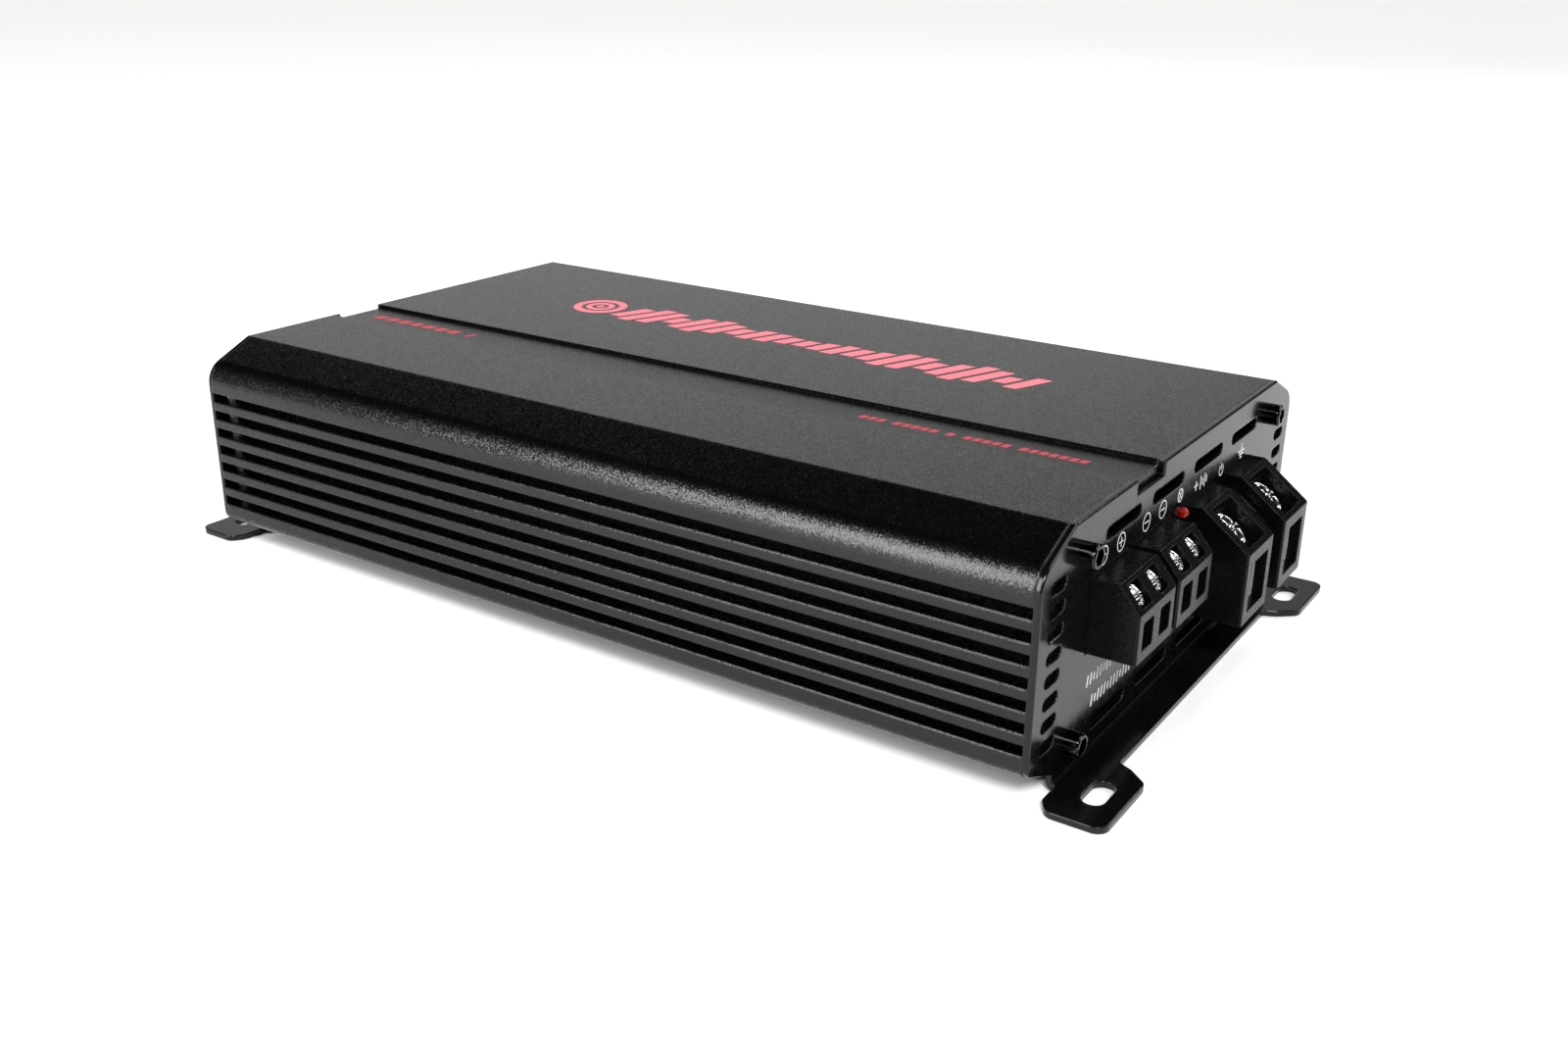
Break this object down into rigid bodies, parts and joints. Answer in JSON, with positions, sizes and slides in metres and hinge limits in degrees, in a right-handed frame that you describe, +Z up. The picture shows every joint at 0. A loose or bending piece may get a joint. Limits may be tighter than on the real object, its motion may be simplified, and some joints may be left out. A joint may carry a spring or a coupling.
{
  "type": "car amplifier",
  "caption": "Low, finned car audio amplifier with slotted feet, clamp terminals at one end and signal jacks with controls at the other.",
  "frame": {"origin": "middle of the footprint, on the surface that the feet are screwed to", "axes": "+X out of the terminal end, +Z up, -Y towards the side by the speaker terminals"},
  "size_m": [0.283, 0.155, 0.059],
  "materials": {
    "black_anodised": "fine bead-blasted, black anodised",
    "black_oxide": "gloss black plated screws",
    "black_steel": "smooth gloss black paint on sheet steel",
    "board_green": "green solder mask",
    "brass": "plain turned",
    "capacitor_sleeve": "shrink sleeve",
    "copper": "enamelled copper wire",
    "epoxy": "moulded epoxy",
    "ferrite": "coated ferrite ring",
    "film_resin": "moulded resin box",
    "jack_red": "moulded insulator",
    "jack_white": "moulded insulator",
    "knob_plastic": "moulded knob",
    "lamp_red": "clear red lens",
    "nickel": "bright nickel plate",
    "pot_blue": "moulded case",
    "silicone": "grey silicone pad",
    "steel": "zinc plated",
    "terminal_plastic": "matt black moulded plastic"
  },
  "bodies": {
    "case": {"board_screws": "steel", "board_standoffs": "brass", "bottom_cover": "black_steel", "bottom_cover_screws": "black_oxide", "circuit_board": "board_green", "control_board": "board_green", "control_end_plate": "black_steel", "control_end_screws": "black_oxide", "control_pots": "pot_blue", "film_capacitors": "film_resin", "front_clamp_bar": "steel", "front_clamp_screws": "steel", "front_insulating_pad": "silicone", "front_transistors": "epoxy", "ground_housing": "terminal_plastic", "heatsink": "black_anodised", "output_choke_core": "ferrite", "output_choke_winding": "copper", "power_housing": "terminal_plastic", "rear_clamp_bar": "steel", "rear_clamp_screws": "steel", "rear_insulating_pad": "silicone", "rear_transistors": "epoxy", "red_jack_centres": "jack_red", "remote_cage": "nickel", "remote_housing": "terminal_plastic", "remote_port": "terminal_plastic", "signal_jack_housing": "terminal_plastic", "signal_jack_shells": "nickel", "speaker_cages": "nickel", "speaker_negative_housing": "terminal_plastic", "speaker_positive_housing": "terminal_plastic", "status_lamp": "lamp_red", "supply_cages": "nickel", "supply_capacitors": "capacitor_sleeve", "switch_body": "steel", "terminal_end_plate": "black_steel", "terminal_end_screws": "black_oxide", "transformer_core": "ferrite", "transformer_winding": "copper", "white_jack_centres": "jack_white"},
    "speaker_foot_1": {"speaker_foot_1": "nickel"},
    "speaker_screw_1": {"speaker_screw_1": "nickel"},
    "speaker_foot_2": {"speaker_foot_2": "nickel"},
    "speaker_screw_2": {"speaker_screw_2": "nickel"},
    "speaker_foot_3": {"speaker_foot_3": "nickel"},
    "speaker_screw_3": {"speaker_screw_3": "nickel"},
    "speaker_foot_4": {"speaker_foot_4": "nickel"},
    "speaker_screw_4": {"speaker_screw_4": "nickel"},
    "power_foot": {"power_foot": "nickel"},
    "power_screw": {"power_screw": "nickel"},
    "ground_foot": {"ground_foot": "nickel"},
    "ground_screw": {"ground_screw": "nickel"},
    "remote_foot": {"remote_foot": "nickel"},
    "remote_screw": {"remote_screw": "nickel"},
    "level_knob": {"level_knob": "knob_plastic"},
    "low_pass_knob": {"low_pass_knob": "knob_plastic"},
    "subsonic_knob": {"subsonic_knob": "knob_plastic"},
    "bass_boost_knob": {"bass_boost_knob": "knob_plastic"},
    "switch_slider": {"switch_slider": "terminal_plastic"}
  },
  "joints": [
    {"name": "speaker_foot_1_travel", "type": "slide", "parent": "case", "child": "speaker_foot_1", "axis": [0.7682, 0, 0.6402], "range_m": [-0.0016, 0.0015]},
    {"name": "speaker_screw_1_turn", "type": "hinge", "parent": "speaker_foot_1", "child": "speaker_screw_1", "pos_m": [0.12424, -0.0474, 0.03287], "axis": [0.7682, 0, 0.6402], "range_deg": [-822.9, 771.5]},
    {"name": "speaker_foot_2_travel", "type": "slide", "parent": "case", "child": "speaker_foot_2", "axis": [0.7682, 0, 0.6402], "range_m": [-0.0016, 0.0015]},
    {"name": "speaker_screw_2_turn", "type": "hinge", "parent": "speaker_foot_2", "child": "speaker_screw_2", "pos_m": [0.12424, -0.038, 0.03287], "axis": [0.7682, 0, 0.6402], "range_deg": [-822.9, 771.5]},
    {"name": "speaker_foot_3_travel", "type": "slide", "parent": "case", "child": "speaker_foot_3", "axis": [0.7682, 0, 0.6402], "range_m": [-0.0016, 0.0015]},
    {"name": "speaker_screw_3_turn", "type": "hinge", "parent": "speaker_foot_3", "child": "speaker_screw_3", "pos_m": [0.12424, -0.0249, 0.03287], "axis": [0.7682, 0, 0.6402], "range_deg": [-822.9, 771.5]},
    {"name": "speaker_foot_4_travel", "type": "slide", "parent": "case", "child": "speaker_foot_4", "axis": [0.7682, 0, 0.6402], "range_m": [-0.0016, 0.0015]},
    {"name": "speaker_screw_4_turn", "type": "hinge", "parent": "speaker_foot_4", "child": "speaker_screw_4", "pos_m": [0.12424, -0.0155, 0.03287], "axis": [0.7682, 0, 0.6402], "range_deg": [-822.9, 771.5]},
    {"name": "power_foot_travel", "type": "slide", "parent": "case", "child": "power_foot", "axis": [0.6116, 0, 0.7911], "range_m": [-0.0006, 0.0035]},
    {"name": "power_screw_turn", "type": "hinge", "parent": "power_foot", "child": "power_screw", "pos_m": [0.12494, 0.0115, 0.02519], "axis": [0.6116, 0, 0.7911], "range_deg": [-216.1, 1260.1]},
    {"name": "ground_foot_travel", "type": "slide", "parent": "case", "child": "ground_foot", "axis": [0.6116, 0, 0.7911], "range_m": [-0.0006, 0.0035]},
    {"name": "ground_screw_turn", "type": "hinge", "parent": "ground_foot", "child": "ground_screw", "pos_m": [0.12494, 0.0385, 0.02519], "axis": [0.6116, 0, 0.7911], "range_deg": [-216.1, 1260.1]},
    {"name": "remote_foot_travel", "type": "slide", "parent": "case", "child": "remote_foot", "axis": [0.6114, 0, 0.7913], "range_m": [-0.0016, 0.0015]},
    {"name": "remote_screw_turn", "type": "hinge", "parent": "remote_foot", "child": "remote_screw", "pos_m": [0.12562, 0.025, 0.02871], "axis": [0.6114, 0, 0.7913], "range_deg": [-822.9, 771.5]},
    {"name": "level_turn", "type": "hinge", "parent": "case", "child": "level_knob", "pos_m": [-0.128, -0.01, 0.037], "axis": [1, 0, 0], "range_deg": [-140, 140]},
    {"name": "low_pass_turn", "type": "hinge", "parent": "case", "child": "low_pass_knob", "pos_m": [-0.128, 0.008, 0.037], "axis": [1, 0, 0], "range_deg": [-140, 140]},
    {"name": "subsonic_turn", "type": "hinge", "parent": "case", "child": "subsonic_knob", "pos_m": [-0.128, 0.026, 0.037], "axis": [1, 0, 0], "range_deg": [-140, 140]},
    {"name": "bass_boost_turn", "type": "hinge", "parent": "case", "child": "bass_boost_knob", "pos_m": [-0.128, 0.044, 0.037], "axis": [1, 0, 0], "range_deg": [-140, 140]},
    {"name": "switch_travel", "type": "slide", "parent": "case", "child": "switch_slider", "axis": [0, 1, 0], "range_m": [0, 0.004]}
  ],
  "couplings": [
    {"joint": "speaker_screw_1_turn", "follows": "speaker_foot_1_travel", "rad_per_m": 8976},
    {"joint": "speaker_screw_2_turn", "follows": "speaker_foot_2_travel", "rad_per_m": 8976},
    {"joint": "speaker_screw_3_turn", "follows": "speaker_foot_3_travel", "rad_per_m": 8976},
    {"joint": "speaker_screw_4_turn", "follows": "speaker_foot_4_travel", "rad_per_m": 8976},
    {"joint": "power_screw_turn", "follows": "power_foot_travel", "rad_per_m": 6283.2},
    {"joint": "ground_screw_turn", "follows": "ground_foot_travel", "rad_per_m": 6283.2},
    {"joint": "remote_screw_turn", "follows": "remote_foot_travel", "rad_per_m": 8976}
  ]
}
